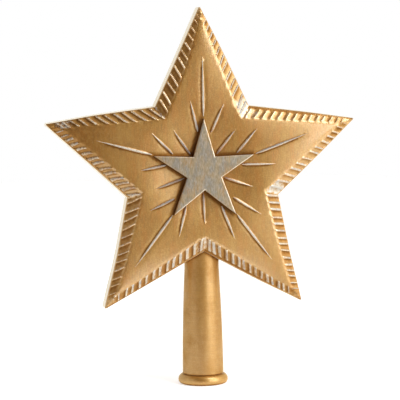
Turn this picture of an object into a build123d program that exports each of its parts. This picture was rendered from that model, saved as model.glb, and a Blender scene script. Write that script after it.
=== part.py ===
from build123d import *
import os
from math import atan2, cos, hypot, pi, radians, sin, sqrt, tan

# Cast tree topper star on a round socket. Millimetres, +Z up. The origin is the centre of the socket's
# mouth, the socket's axis is Z, and the star faces -Y with its flat back in the plane y = 0.

# Star outline, measured at the outer edge of the bevelled border.
point_count = 5
tip_radius = 118.0
crotch_radius = 57.0
tip_rounding = 2.0
draft_angle = 3.0

# Bevelled border: the crest is the line where the bevel meets the face.
crest_tip_radius = 105.0
crest_crotch_radius = 46.0
bevel_angle = 29.0

# Raised ridges cut across the border.
ridges_per_edge = 13
ridge_slant = 60.0
ridge_first = 8.0
ridge_last = 3.5
ridge_margin = 1.6
ridge_width = 1.6
ridge_height = 0.7
ridge_top_share = 0.25

# Face of the star, dished round its middle.
dish_radius = 43.0
dish_depth = 2.5
face_thickness = 3.4

# Rays raised on the face.
ray_width = 1.9
ray_height = 0.9
ray_gap = 0.8
ray_bulge_share = 0.35
ray_top_share = 0.15
long_ray_radius = 81.0
notch_ray_radius = 38.0
flank_ray_start = 28.0
flank_ray_radius = 51.0
flank_ray_start_angle = 9.5
flank_ray_angle = 16.0

# Star applied in the middle of the face.
centre_star_radius = 37.5
centre_star_notch_radius = 13.0
centre_star_thickness = 5.4
centre_star_chamfer = 0.4
centre_star_fit = 0.15
seat_depth = 0.4

# Hollow back of the casting and the panel that closes it.
wall = 4.0
lip = 1.8
panel_thickness = 3.0
panel_fit = 0.15

# Socket tube. It tapers twice below the star and runs up behind the face as a round neck.
crotch_height = 96.5
bore_radius = 10.0
bore_depth = 105.0
neck_radius = 12.4
neck_fit = 0.15
neck_start = 84.0
neck_rise = 39.5
neck_chamfer = 5.0
tube_foot_radius = 14.8
tube_middle_radius = 14.1
tube_middle_share = 0.48
edge_cover = 1.45

# Ring at the mouth, seated on a spigot turned on the tube's end.
ring_radius = 18.0
ring_height = 7.2
ring_belly_share = 0.42
ring_flats = 4
spigot_radius = 13.6
ring_fit = 0.1

# Pin through the neck and the cradle cast inside the star.
pin_radius = 2.0
pin_fit = 0.1
pin_depth = 7.0
pin_drop = 13.0
cradle_width = 36.0
cradle_end_wall = 5.0

# Extra reach of every cutting shape past the face that it opens, and depth of fused shapes in their base.
overrun = 2.0
root_depth = 1.0

half_sector = pi / point_count
tip_half_angle = atan2(
    crotch_radius * sin(half_sector), tip_radius - crotch_radius * cos(half_sector)
)
crotch_half_angle = half_sector + tip_half_angle
bevel_rise = tan(radians(bevel_angle))
edge_height = neck_radius + neck_fit + edge_cover
bevel_at_tip = (tip_radius - crest_tip_radius) * sin(tip_half_angle)
bevel_at_crotch = (crotch_radius - crest_crotch_radius) * sin(crotch_half_angle)
crest_tip_height = edge_height + bevel_at_tip * bevel_rise
crest_crotch_height = edge_height + bevel_at_crotch * bevel_rise
face_slope = (crest_crotch_height - crest_tip_height) / (
    crest_tip_radius - crest_crotch_radius * cos(half_sector)
)
face_peak = crest_tip_height + face_slope * crest_tip_radius
dish_floor = crest_crotch_height - dish_depth
dish_rise = face_peak - face_slope * dish_radius - dish_floor
dish_sphere = (dish_radius**2 + dish_rise**2) / (dish_rise + dish_rise)
cavity_floor = min(dish_floor, edge_height + wall * bevel_rise) - face_thickness
seat_height = dish_floor - seat_depth
star_height = crotch_height + crotch_radius
neck_top = crotch_height + neck_rise
pin_height = neck_top - pin_drop

# The star is drawn flat, with its first point up and its front towards +Z, and then stood up here.
star_plane = Plane(origin=(0, 0, star_height), x_dir=(1, 0, 0), z_dir=(0, -1, 0))


def polar(radius, angle):
    """Point at a radius and at an angle clockwise from the star's upper point."""
    return (radius * sin(angle), radius * cos(angle))


def star_points(tip, crotch):
    """Corners of a star, counter-clockwise from its upper point."""
    corners = []
    for k in range(point_count):
        corners.append(polar(tip, -(k + k) * half_sector))
        corners.append(polar(crotch, -(k + k + 1) * half_sector))
    return corners


def star_face(tip, crotch):
    return make_face(Polyline(*star_points(tip, crotch), close=True))


def border_face(inset):
    """The star's outline, moved in by a distance, or out where it is negative."""
    tip = tip_radius - inset / sin(tip_half_angle)
    crotch = crotch_radius - inset / sin(crotch_half_angle)
    return star_face(tip, crotch)


def face_height(x, y):
    """Height of the star's face above its back, with the dish."""
    radius = hypot(x, y)
    sector = half_sector + half_sector
    angle = atan2(x, y)
    angle -= sector * round(angle / sector)
    slope = face_peak - face_slope * radius * cos(angle)
    if radius >= dish_sphere:
        return slope
    return min(slope, dish_floor + dish_sphere - sqrt(dish_sphere**2 - radius**2))


# Frame of the right-hand edge of the upper point: along it from the tip, and inwards across the border.
edge_start = Vector(*polar(tip_radius, 0))
edge_length = (Vector(*polar(crotch_radius, half_sector)) - edge_start).length
edge_along = Vector(sin(tip_half_angle), -cos(tip_half_angle))
edge_inward = Vector(-cos(tip_half_angle), -sin(tip_half_angle))


def drafted_blank():
    """Block inside the star's drafted side wall, taller than the face, with its points rounded."""
    foot_face = border_face(-edge_height * tan(radians(draft_angle)))
    blank = extrude(foot_face, face_peak + overrun, taper=draft_angle)
    tips = blank.edges().sort_by(lambda e: hypot(e.center().X, e.center().Y))[-point_count:]
    return fillet(tips, tip_rounding)


def point_roof():
    """One point of the star from the middle out: a wedge under its two bevels and its face."""
    reach = tip_radius + tip_radius
    side = crotch_radius + crotch_radius
    corners = [(0, 0), polar(side, -half_sector), polar(reach, 0), polar(side, half_sector)]
    roof = extrude(make_face(Polyline(*corners, close=True)), face_peak + overrun)
    lean = radians(bevel_angle)
    for hand in (-1, 1):
        normal = (-hand * edge_inward.X * sin(lean), -edge_inward.Y * sin(lean), cos(lean))
        bevel = Plane(origin=(edge_start.X, edge_start.Y, edge_height), z_dir=normal)
        roof = split(roof, bisect_by=bevel, keep=Keep.BOTTOM)
    face = Plane(origin=(0, 0, face_peak), z_dir=(0, face_slope, 1))
    return split(roof, bisect_by=face, keep=Keep.BOTTOM)


def ridge_ends(distance):
    """How far across the border a ridge runs that starts at this distance along the edge."""
    slant = 1 / tan(radians(ridge_slant))
    crest_tip = Vector(*polar(crest_tip_radius, 0)) - edge_start
    crest_crotch = Vector(*polar(crest_crotch_radius, half_sector)) - edge_start
    tip_along, tip_across = crest_tip.dot(edge_along), crest_tip.dot(edge_inward)
    widening = (crest_crotch.dot(edge_inward) - tip_across) / (crest_crotch.dot(edge_along) - tip_along)
    crest = (tip_across + (distance - tip_along) * widening) / (1 - widening * slant)
    mitre = (distance - ridge_width) / (1 / tan(tip_half_angle) - slant)
    return ridge_margin, min(crest, mitre)


def border_ridge(distance, hand):
    """One slanted ridge on the upper point's right-hand bevel, or its mirror image on the left."""
    slant = radians(ridge_slant)
    start, end = ridge_ends(distance)
    heading = edge_along * cos(slant) + edge_inward * sin(slant)
    middle = edge_start + edge_along * distance + heading * ((start + end) / 2 / sin(slant))
    across = (start + end) / 2
    rise = sin(slant) * bevel_rise
    length = (end - start) / sin(slant) * sqrt(1 + rise**2)
    lean = radians(bevel_angle)
    normal = (-hand * edge_inward.X * sin(lean), -edge_inward.Y * sin(lean), cos(lean))
    place = Plane(
        origin=(hand * middle.X, middle.Y, edge_height + across * bevel_rise),
        x_dir=(hand * heading.X, heading.Y, rise),
        z_dir=normal,
    )
    foot = Pos(0, 0, -root_depth) * Rectangle(length, ridge_width)
    top = Pos(0, 0, ridge_height) * Rectangle(length - ridge_width, ridge_width * ridge_top_share)
    return place * loft([foot, top], ruled=True)


def border_ridges():
    spacing = (edge_length - ridge_first - ridge_last) / (ridges_per_edge - 1)
    ridges = []
    for k in range(point_count):
        for n in range(ridges_per_edge):
            for hand in (-1, 1):
                ridge = border_ridge(ridge_first + n * spacing, hand)
                ridges.append(Rot(0, 0, -360 * k / point_count) * ridge)
    return ridges


def ray(inner, outer):
    """Slender ridge on the face from one flat point to another, widest near its inner end."""
    run = hypot(outer[0] - inner[0], outer[1] - inner[1])
    inner_height = face_height(*inner)
    outer_height = face_height(*outer)
    place = Plane(
        origin=(inner[0], inner[1], inner_height),
        x_dir=(outer[0] - inner[0], outer[1] - inner[1], outer_height - inner_height),
        z_dir=(0, 0, 1),
    )
    bulge = run * ray_bulge_share
    half = ray_width / 2

    def kite(scale):
        near, far = bulge - bulge * scale, bulge + (run - bulge) * scale
        return make_face(
            Polyline((near, 0), (bulge, -half * scale), (far, 0), (bulge, half * scale), close=True)
        )

    foot = Pos(0, 0, -root_depth) * kite(1)
    top = Pos(0, 0, ray_height) * kite(ray_top_share)
    return place * loft([foot, top], ruled=True)


def face_rays():
    rays = []
    for k in range(point_count):
        axis = (k + k) * half_sector
        notch = axis + half_sector
        rays.append(ray(polar(centre_star_radius + ray_gap, axis), polar(long_ray_radius, axis)))
        rays.append(ray(polar(centre_star_notch_radius + ray_gap, notch), polar(notch_ray_radius, notch)))
        for hand in (-1, 1):
            start = axis + hand * radians(flank_ray_start_angle)
            end = axis + hand * radians(flank_ray_angle)
            rays.append(ray(polar(flank_ray_start, start), polar(flank_ray_radius, end)))
    return rays


def neck_form(extra):
    """The neck with its chamfered end, made wider by an extra radius."""
    radius = neck_radius + extra
    straight = neck_top - neck_chamfer - neck_start
    upright = (Align.CENTER, Align.CENTER, Align.MIN)
    body = Pos(0, 0, neck_start) * Cylinder(radius, straight, align=upright)
    end = Cone(radius, radius - neck_chamfer, neck_chamfer, align=upright)
    return body + Pos(0, 0, neck_top - neck_chamfer) * end


def pin_bore(length):
    """Cross hole for the pin, through the neck and the cradle."""
    bore = Cylinder(pin_radius + pin_fit, length)
    return Pos(0, -pin_depth, pin_height) * Rot(0, 90, 0) * bore


def front_shell():
    """Hollow cast star with its bevelled border, ridges, dished face, rays and inner cradle."""
    star = point_roof()
    for k in range(1, point_count):
        star += Rot(0, 0, -360 * k / point_count) * point_roof()
    dish = Pos(0, 0, dish_floor + dish_sphere) * Rot(90, 0, 0) * Sphere(dish_sphere)
    star = (star & drafted_blank()) - dish
    star = star.fuse(*border_ridges(), *face_rays())
    seat_tip = centre_star_radius + centre_star_fit / sin(centre_star_half_angle())
    seat_notch = centre_star_notch_radius + centre_star_fit
    seat = extrude(star_face(seat_tip, seat_notch), face_peak)
    star -= Pos(0, 0, seat_height) * seat

    cradle_top = neck_top + cradle_end_wall - star_height
    cradle = Pos(0, cradle_top, 0) * Box(
        cradle_width, neck_rise + neck_rise, cavity_floor, align=(Align.CENTER, Align.MAX, Align.MIN)
    )
    hollow = extrude(border_face(wall), cavity_floor) - cradle
    rebate = Pos(0, 0, -overrun) * extrude(border_face(lip), panel_thickness + overrun)
    shell = star_plane * (star - hollow - rebate)
    return shell - neck_form(neck_fit) - pin_bore(cradle_width + overrun)


def back_panel():
    """Flat star let into the rebate at the back, slotted for the neck."""
    panel = extrude(border_face(lip + panel_fit), panel_thickness)
    return star_plane * panel - neck_form(neck_fit)


def centre_star_half_angle():
    """Half the angle of the applied star's points."""
    return atan2(
        centre_star_notch_radius * sin(half_sector),
        centre_star_radius - centre_star_notch_radius * cos(half_sector),
    )


def centre_star():
    """Applied star, glued in its seat, with its upper arris broken."""
    star = extrude(star_face(centre_star_radius, centre_star_notch_radius), centre_star_thickness)
    arris = star.faces().sort_by(Axis.Z)[-1].edges()
    star = chamfer(arris, centre_star_chamfer)
    return star_plane * Pos(0, 0, seat_height) * star


def socket_tube():
    """Tube with a spigot for the ring, two tapers, the neck and a blind bore."""
    shoulder = ring_height + ring_fit
    middle = shoulder + (neck_start - shoulder) * tube_middle_share
    outline = Polyline(
        (0, 0),
        (spigot_radius, 0),
        (spigot_radius, shoulder),
        (tube_foot_radius, shoulder),
        (tube_middle_radius, middle),
        (neck_radius, neck_start),
        (0, neck_start),
        close=True,
    )
    body = revolve(Plane.XZ * make_face(outline), Axis.Z) + neck_form(0)
    bore = Cylinder(bore_radius, bore_depth, align=(Align.CENTER, Align.CENTER, Align.MIN))
    return body - bore - pin_bore(cradle_width)


def mouth_ring():
    """Bead round the mouth, flush with the tube's end, its round turned as a run of narrow flats."""
    belly = ring_height * ring_belly_share
    inner = spigot_radius + ring_fit
    outline = [(inner, 0)]
    for k in range(-ring_flats, ring_flats + 1):
        angle = k / ring_flats * pi / 2
        rise = belly if k < 0 else ring_height - belly
        round_depth = min(rise, ring_radius - inner)
        outline.append((ring_radius - round_depth * (1 - cos(angle)), belly + rise * sin(angle)))
    outline.append((inner, ring_height))
    return revolve(Plane.XZ * make_face(Polyline(*outline, close=True)), Axis.Z)


def neck_pin():
    """Steel pin that locks the neck in its cradle."""
    pin = Cylinder(pin_radius, cradle_width)
    return Pos(0, -pin_depth, pin_height) * Rot(0, 90, 0) * pin


os.makedirs("parts", exist_ok=True)
pieces = {
    "front_shell": front_shell,
    "back_panel": back_panel,
    "centre_star": centre_star,
    "socket_tube": socket_tube,
    "mouth_ring": mouth_ring,
    "neck_pin": neck_pin,
}
for node, make in pieces.items():
    shape = make()
    export_step(shape, f"parts/{node}.step")
    print(node, len(shape.solids()), round(shape.volume))
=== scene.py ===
from collections import namedtuple
from math import atan2, cos, hypot, pi, radians, sin, tan

import bpy
import numpy as np
from mathutils import Matrix, Vector
from mathutils.geometry import delaunay_2d_cdt


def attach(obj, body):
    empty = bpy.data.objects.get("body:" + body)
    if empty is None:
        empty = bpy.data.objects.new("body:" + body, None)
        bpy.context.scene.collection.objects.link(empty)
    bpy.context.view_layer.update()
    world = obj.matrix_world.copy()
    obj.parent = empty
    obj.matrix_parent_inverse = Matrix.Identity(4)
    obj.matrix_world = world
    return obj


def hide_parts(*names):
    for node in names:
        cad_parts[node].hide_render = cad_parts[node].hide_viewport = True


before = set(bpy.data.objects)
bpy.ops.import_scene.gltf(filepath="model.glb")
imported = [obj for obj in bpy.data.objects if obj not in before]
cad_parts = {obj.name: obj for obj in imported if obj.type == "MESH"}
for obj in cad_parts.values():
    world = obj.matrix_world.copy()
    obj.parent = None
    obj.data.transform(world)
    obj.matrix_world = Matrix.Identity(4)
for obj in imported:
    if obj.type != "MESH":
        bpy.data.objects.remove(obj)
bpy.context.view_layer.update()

# Front shell: a hollow star of cast resin, sprayed antique gold, with brown wash left in its recesses and
# silver rubbed over the ridges of its carved border and the rays on its face. Both are cast with the star.
# Painted shade and shadow are laid into the wash, and a pale line on some crests is a painted highlight.
mm = 0.001
tip_radius = 118 * mm
crotch_radius = 57 * mm
tip_rounding = 0.7 * mm
tip_steps = 6
star_height = 153.5 * mm
edge_height = 14 * mm
bevel_rise = tan(radians(29))
crest_blend = 0.6 * mm
face_peak = 20.59 * mm
face_slope = 0.0338
dish_floor = 16.25 * mm
dish_sphere = 255 * mm
dish_blend = 2 * mm
wall_draft = tan(radians(3))
arris_rounding = 0.9 * mm

sector = 2 * pi / 5
tip_half = atan2(crotch_radius * sin(sector / 2), tip_radius - crotch_radius * cos(sector / 2))
crotch_half = sector / 2 + tip_half
edge_length = hypot(crotch_radius * sin(sector / 2), tip_radius - crotch_radius * cos(sector / 2))

# The pattern was made by hand: each tip is drawn sideways, in or out, and each arm swells, leans or falls.
# A zone runs from where something starts to where it is full, here and below.
tip_shifts = np.array([(-0.8, -1.05), (0, -1.75), (-1.3, 0), (1.35, 2.15), (-0.9, -1.3)]) * mm
tip_shift_zone = (72 * mm, 119 * mm)
tip_shift_curve = 1.5
arm_pillow = np.array([0.4, 0.75, 0.5, 0.5, 0.75]) * mm
arm_length = 62 * mm
arm_margin = 7 * mm
arm_half_least = 3 * mm
pillow_shares = (-0.3, 1)
arm_lean = np.array([0.015, 0, 0, 0, 0])
arm_fall = np.array([0.8, 0, 0, 0, 0]) * mm
arm_start = 43 * mm
arm_middle = 70 * mm
arm_end = 112 * mm
chance = np.random.default_rng(12)


def smooth(low, high, value):
    t = np.clip((value - low) / (high - low), 0, 1)
    return t * t * (3 - 2 * t)


def soft_min(a, b, width):
    t = np.clip(0.5 + 0.5 * (b - a) / width, 0, 1)
    return b + (a - b) * t - width * t * (1 - t)


def turned(across, along, turn):
    """Flat position on the star from a position on its upper point, turned clockwise."""
    return across * np.cos(turn) + along * np.sin(turn), along * np.cos(turn) - across * np.sin(turn)


def fold(x, y):
    """Which point of the star a flat position is on, and where on that point."""
    turn = np.arctan2(x, y)
    point = np.round(turn / sector)
    turn = turn - point * sector
    radius = np.hypot(x, y)
    return point.astype(int) % 5, radius * np.sin(turn), radius * np.cos(turn), radius


def settled(x, y):
    """Flat positions with each tip drawn aside."""
    point, side, along, _ = fold(x, y)
    pull = smooth(*tip_shift_zone, along)[:, None] ** tip_shift_curve * tip_shifts[point]
    return turned(side + pull[:, 0], along + pull[:, 1], point * sector)


def on_edge(point, hand, run, inset):
    """Flat position at a distance along an edge from its tip, and inwards from it."""
    across = run * sin(tip_half) - inset * cos(tip_half)
    along = tip_radius - run * cos(tip_half) - inset * sin(tip_half)
    return turned(hand * across, along, point * sector)


def edge_inset(side, along):
    """Distance in from the nearest edge, as if the tips were sharp."""
    return (tip_radius - along) * sin(tip_half) - np.abs(side) * cos(tip_half)


def margin_to_outline(side, along):
    """Distance in from the real outline, with its rounded tips."""
    out = along - (tip_radius - tip_rounding / sin(tip_half))
    in_tip = out > np.abs(side) * tan(tip_half)
    return np.where(in_tip, tip_rounding - np.hypot(side, out), edge_inset(side, along))


def face_height(point, side, along, radius):
    """Height of the plain face: it falls towards the tips, is dished in the middle and swells on the arms."""
    swell = np.sin(pi * np.clip((along - arm_start) / arm_length, 0, 1))
    half = np.maximum((tip_radius - along) * tan(tip_half) - arm_margin, arm_half_least)
    swell = swell * np.clip(1 - (side / half) ** 2, *pillow_shares)
    flat = face_peak - face_slope * along + arm_pillow[point] * swell
    flat -= arm_lean[point] * side * smooth(arm_start, arm_middle, along)
    flat -= arm_fall[point] * smooth(arm_middle, arm_end, along)
    return soft_min(flat, dish_floor + radius**2 / (2 * dish_sphere), dish_blend)


# Each edge of the border, by point and hand: its count of ridges, where the first and the last stand, their
# slant in degrees and how they bend, their half width and rise, the silver on them, the silver smeared at the
# crotch, the brown left between them, the plain rim outside and the pale rub along the crest inside, which is
# a painted highlight.
Edge = namedtuple("Edge", "point hand count first last slant bend half rise silver smear brown rim crest")
border_edges = [
    Edge(0, 1, 13, 5.0, 75.5, 53, 4, 0.65, 0.50, 0.72, 0.95, 0.58, 0.2, 0.12),
    Edge(1, -1, 14, 8.0, 76.0, 63, 9, 1.45, 0.35, 0.42, 0.5, 0.66, 1.6, 0.0),
    Edge(1, 1, 13, 6.5, 73.5, 60, 5, 0.95, 0.65, 0.72, 0.95, 0.50, 0.5, 0.0),
    Edge(2, -1, 16, 6.0, 78.0, 71, 0, 0.80, 0.60, 0.76, 0.3, 0.78, 0.2, 0.16),
    Edge(2, 1, 16, 6.5, 75.5, 57, 5, 1.08, 0.80, 0.80, 0.45, 0.88, 1.5, 0.0),
    Edge(3, -1, 14, 7.0, 77.0, 62, 3, 1.15, 0.70, 0.80, 0.5, 0.82, 1.0, 0.25),
    Edge(3, 1, 13, 5.5, 75.0, 57, 8, 0.60, 0.50, 0.54, 0.1, 0.80, 0.0, 0.0),
    Edge(4, -1, 15, 6.0, 78.0, 74, 48, 1.45, 0.85, 0.60, 0.2, 0.36, 0.9, 0.0),
    Edge(4, 1, 12, 7.0, 75.0, 45, 8, 0.78, 0.50, 0.66, 0.0, 0.76, 0.2, 0.0),
    Edge(0, -1, 12, 5.5, 73.0, 55, 5, 0.64, 0.50, 0.58, 0.2, 0.78, 0.0, 0.0),
]
ridge_crowding = 1.08
first_ridge_share = 0.35
full_ridge_zone = (0, 0.3)
foot_chance = 0.5
slant_chance = 3
bend_chance = 6
size_least, size_chance = 0.85, 0.3
silver_least, silver_chance = 0.75, 0.25
ridges = {}
for edge in border_edges:
    step = np.linspace(0, 1, edge.count)
    foot = edge.first + (edge.last - edge.first) * step**ridge_crowding
    small = first_ridge_share + (1 - first_ridge_share) * smooth(*full_ridge_zone, step)
    ridges[edge.point, edge.hand] = {
        "edge": edge,
        "foot": (foot + chance.uniform(-foot_chance, foot_chance, edge.count)) * mm,
        "lean": 1 / np.tan(np.radians(edge.slant + chance.uniform(-slant_chance, slant_chance, edge.count))),
        "bend": edge.bend + chance.uniform(-bend_chance, bend_chance, edge.count),
        "height": edge.rise * (size_least + size_chance * chance.random(edge.count)) * small * mm,
        "half": edge.half * (size_least + size_chance * chance.random(edge.count)) * small * mm,
        "silver": edge.silver * (silver_least + silver_chance * chance.random(edge.count)),
    }


def ridge_line(ridge, inset):
    """Distance along the edge of each ridge's middle line, at insets given as a column."""
    return ridge["foot"] + ridge["lean"] * inset + ridge["bend"] * inset * inset


# How every edge is carved: ridges fade at the rim and the crest, the gaps between them are scooped out, and
# low ridges mark the mitres at the tip and the crotch.
border_reach = 3 * mm
mitre_half = 0.6 * mm
mitre_rise = 0.35 * mm
mitre_silver = 0.6
mitre_fade = (0.2 * mm, 1.4 * mm)
rim_least_share = 0.35
rim_zone = (10 * mm, 45 * mm)
rim_fade = 0.8 * mm
crest_fade = (0.3 * mm, -1.1 * mm)
ridge_roundness = 1.3
gap_least = 0.5 * mm
gap_full = 6 * mm
scoop_shares = (0.1, 1.2)
Carving = namedtuple("Carving", "relief silver off phase rim across fade bump")


def carved_edge(ridge, inset, run, crest):
    """What the ridges of one edge add to its height, and how near and how strong they are."""
    edge = ridge["edge"]
    row = np.arange(len(inset))
    mitre = inset / tan(tip_half)
    crotch = edge_length + inset / tan(crotch_half)
    lines = np.maximum(ridge_line(ridge, inset[:, None]), mitre[:, None])
    lines = np.column_stack([mitre, lines, crotch])
    last = lines.shape[1] - 1
    nearest = np.abs(lines - run[:, None]).argmin(axis=1)
    at_mitre = (nearest == 0) | (nearest == last)
    inner = np.clip(nearest - 1, 0, edge.count - 1)
    half = np.where(at_mitre, mitre_half, ridge["half"][inner])
    rise = np.where(at_mitre, mitre_rise, ridge["height"][inner])
    silver = np.where(at_mitre, mitre_silver, ridge["silver"][inner])
    off = np.abs(run - lines[row, nearest]) / np.sqrt(1 + ridge["lean"][inner] ** 2) / half
    after = (lines <= run[:, None]).sum(axis=1).clip(1, last)
    gap = np.maximum(lines[row, after] - lines[row, after - 1], gap_least)
    phase = np.clip((run - lines[row, after - 1]) / gap, 0, 1)
    rim = edge.rim * mm * (rim_least_share + (1 - rim_least_share) * smooth(*rim_zone, run))
    across = smooth(rim, rim + rim_fade, inset) * smooth(crest + crest_fade[0], crest + crest_fade[1], inset)
    fade = across * np.where(at_mitre, 1, smooth(*mitre_fade, lines[row, nearest] - mitre))
    bump = np.clip(1 - off**2, 0, 1) ** ridge_roundness
    scoop = across * 4 * phase * (1 - phase) * np.clip(gap / gap_full, *scoop_shares)
    relief = fade * rise * bump - edge.rise * mm * scoop
    return Carving(relief, silver, off, phase, rim, across, fade, bump)


# How every edge is painted: silver on the ridges and at the crotches, greyer there and at the left tip,
# and brown wash in the gaps with painted shade, deeper on the side of a ridge that looks away from the light.
silver_run_zone = (4 * mm, 11 * mm)
silver_bump_zone = (0.1, 0.5)
silver_fade_gain = 1.6
smear_zone = (edge_length - 10 * mm, edge_length - 5 * mm)
smear_gap_share = 0.6
grey_zone = (edge_length - 18 * mm, edge_length - 7 * mm)
left_point = 4
left_tip_silver = 0.7
left_tip_start = (4 * mm, 9 * mm)
left_tip_end = (24 * mm, 14 * mm)
crest_highlight_inset = 0.3 * mm
crest_highlight_fade = (1.0 * mm, 0.3 * mm)
tip_brown = 0.92
tip_brown_most = 0.35
tip_brown_zone = (36 * mm, 16 * mm)
foot_brown = 0.6
foot_brown_zone = (2.2, 1.2)
bare_ridge_zone = (0.75, 1.05)
shade_zone = (0.4, 0.8)
shade_least, shade_gain = 0.74, 0.6
brown_most = 0.98
pale_tip_share = 0.45
pale_tip_zone = (5 * mm, 13 * mm)
seamed_rim = 0.8
seam_inset = 0.3 * mm
seam_fade = (0.6 * mm, 0.1 * mm)
seam_brown = 0.75
brown_rim = 1.2
brown_rim_gain = 1.25
brown_rim_zone = (0.3 * mm, 0.7 * mm)
light_across, light_up = 0.6, 0.8


def runs_to_light(edge):
    """Whether an edge runs towards the light on its way from the tip to the crotch."""
    near = on_edge(edge.point, edge.hand, 0, 0)
    far = on_edge(edge.point, edge.hand, edge_length, 0)
    return light_across * (far[0] - near[0]) + light_up * (far[1] - near[1]) > 0


def painted_edge(edge, inset, run, crest, cut):
    """The silver with its painted crest highlight, the greyer silver, and the brown wash with painted shade
    of one edge.
    """
    spread = smear_gap_share + (1 - smear_gap_share) * cut.bump
    left_tip = left_tip_silver * (edge.point == left_point) * smooth(*left_tip_start, run)
    left_tip = left_tip * smooth(*left_tip_end, run)
    smear = edge.smear * smooth(*smear_zone, run) * spread
    smear = np.maximum(smear, left_tip * (edge.hand > 0) * spread)
    took = cut.silver * smooth(*silver_run_zone, run) * smooth(*silver_bump_zone, cut.bump)
    # The pale rub along the crest is a painted highlight.
    crest_highlight = edge.crest * smooth(*crest_highlight_fade, np.abs(inset - crest + crest_highlight_inset))
    silver = np.maximum(np.maximum(took, smear) * np.minimum(silver_fade_gain * cut.fade, 1), crest_highlight)
    grey = np.maximum(edge.smear * smooth(*grey_zone, run), left_tip)

    tip_gain = np.clip(tip_brown - edge.brown, 0, tip_brown_most) * (edge.hand > 0)
    brown = edge.brown + tip_gain * smooth(*tip_brown_zone, run)
    brown = np.maximum(foot_brown * smooth(*foot_brown_zone, cut.off), brown)
    brown = brown * smooth(*bare_ridge_zone, cut.off)
    # Painted shade: the brown is deeper on the side of each ridge that looks away from the light.
    shade = smooth(*shade_zone, cut.phase if runs_to_light(edge) else 1 - cut.phase)
    brown = np.minimum(brown * (shade_least + shade_gain * shade), brown_most)
    brown = brown * (pale_tip_share + (1 - pale_tip_share) * smooth(*pale_tip_zone, run))
    seam = (edge.rim > seamed_rim) * smooth(*seam_fade, np.abs(inset - cut.rim - seam_inset))
    on_rim = (edge.rim > brown_rim) * smooth(*brown_rim_zone, inset) * (inset < cut.rim)
    seam = np.maximum(seam, brown_rim_gain * on_rim)
    return silver, grey, np.maximum(brown * cut.across, seam_brown * seam)


# The rays: radius and angle in degrees of the inner and of the outer end, clockwise from the top. The five
# long ones start at the tips of the applied star, and the others between them.
rays = [
    (38.5, 0, 81, 0), (38.5, 72, 79, 71), (38, 143, 80, 143), (38, 217, 82.5, 217), (38.5, 289, 79, 287),
    (15, 37.5, 37.5, 38), (14.8, 107, 36.5, 108), (15, 182, 37.5, 180), (14.8, 252.5, 37, 251.5),
    (15, 322.5, 37, 324), (28, 352, 51, 349.5), (27.5, 11, 49.5, 17), (27, 62, 48.5, 52), (27, 80, 52, 85),
    (27.5, 132, 51, 127.5), (27, 153.5, 53, 156), (27, 208.5, 49.5, 202), (28, 228.5, 47.5, 235.5),
    (27, 281, 45.5, 272), (25, 300, 46.5, 307),
]
ray_half = 1.2 * mm
ray_height = 1.4 * mm
ray_start_share, ray_start_curve = 0.15, 0.6
ray_taper_share, ray_taper_curve = 0.5, 0.75
ray_hair = 1e-6
ray_silver, ray_silver_zone = 0.8, (0.2, 0.65)
ray_grey, ray_grey_zone = 0.9, (0, 0.2)
groove_depth = 0.15 * mm
groove_fade = (2.0 * mm, 0.9 * mm)
groove_start, groove_end = -0.05, 1.02
groove_clear = (0.1, 0.4)
# The groove's wash is full on the side away from the light, as painted shade, and less on the lit side.
groove_lit_wash = 0.35


def ray_course(ray):
    """Where a ray starts, its heading and its length."""
    near, near_turn, far, far_turn = ray
    near_turn, far_turn = radians(near_turn), radians(far_turn)
    start = near * mm * np.array([sin(near_turn), cos(near_turn)])
    end = far * mm * np.array([sin(far_turn), cos(far_turn)])
    length = hypot(*(end - start))
    return start, (end - start) / length, length


def ray_width(t):
    """How wide and high a ray is along its run, as a share of its greatest."""
    start = np.clip(t / ray_start_share, 0, 1) ** ray_start_curve
    return start * np.clip((1 - t) / ray_taper_share, 0, 1) ** ray_taper_curve


def raised_ray(ray, x, y):
    """What a ray and the groove beside it add to the height, their silver and greyer silver, and wash with
    painted shade.
    """
    start, heading, length = ray_course(ray)
    t = ((x - start[0]) * heading[0] + (y - start[1]) * heading[1]) / length
    off = (x - start[0]) * heading[1] - (y - start[1]) * heading[0]
    shaded = off * (heading[0] * light_across - heading[1] * light_up) > 0
    off = np.abs(off)
    width = ray_width(t)
    share = np.clip(1 - off / (ray_half * width + ray_hair), 0, 1) * (t > 0) * (t < 1)
    groove = smooth(*groove_fade, off - 0.5 * ray_half * width) * (t > groove_start) * (t < groove_end)
    groove = groove * (1 - smooth(*groove_clear, share)) * np.clip(2 * width, 0, 1)
    relief = ray_height * width * (0.5 * share + 0.5 * share * (2 - share)) - groove_depth * groove
    silver = ray_silver * smooth(*ray_silver_zone, share)
    grey = ray_grey * smooth(*ray_grey_zone, share)
    return relief, silver, grey, groove * np.where(shaded, 1, groove_lit_wash)


# The seat of the applied star, and the wash: along the outline, with painted shade round the seat, painted
# shadow in two pools that are set off to the left and upwards, and painted shade over three parts of the
# field, each with its zones to the right and up.
centre_star_radius = 37.5 * mm
centre_star_notch = 13 * mm
centre_run = centre_star_radius - centre_star_notch * cos(sector / 2)
centre_half = atan2(centre_star_notch * sin(sector / 2), centre_run)
seat_gap = 0.15 * mm
seat_height = 16.43 * mm
seat_wash = 0.75
seat_wash_zone = (-2.0 * mm, 0)
outline_wash = 0.35
outline_wash_zone = (1.6 * mm, 0.3 * mm)
painted_shadow_pools = [(2.1, -0.2, 1.0), (0.6, 1.5, 0.85)]
painted_shadow_zone = (-2.4 * mm, -0.2 * mm)
field_washes = [(0.65, (-35, -85), (-20, 15)), (0.46, (15, 60), (-15, -60)), (0.2, (70, 100), (0, 20))]


def centre_inset(side, along):
    """Distance in from the applied star's nearest edge."""
    return (centre_star_radius - along) * sin(centre_half) - np.abs(side) * cos(centre_half)


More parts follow.
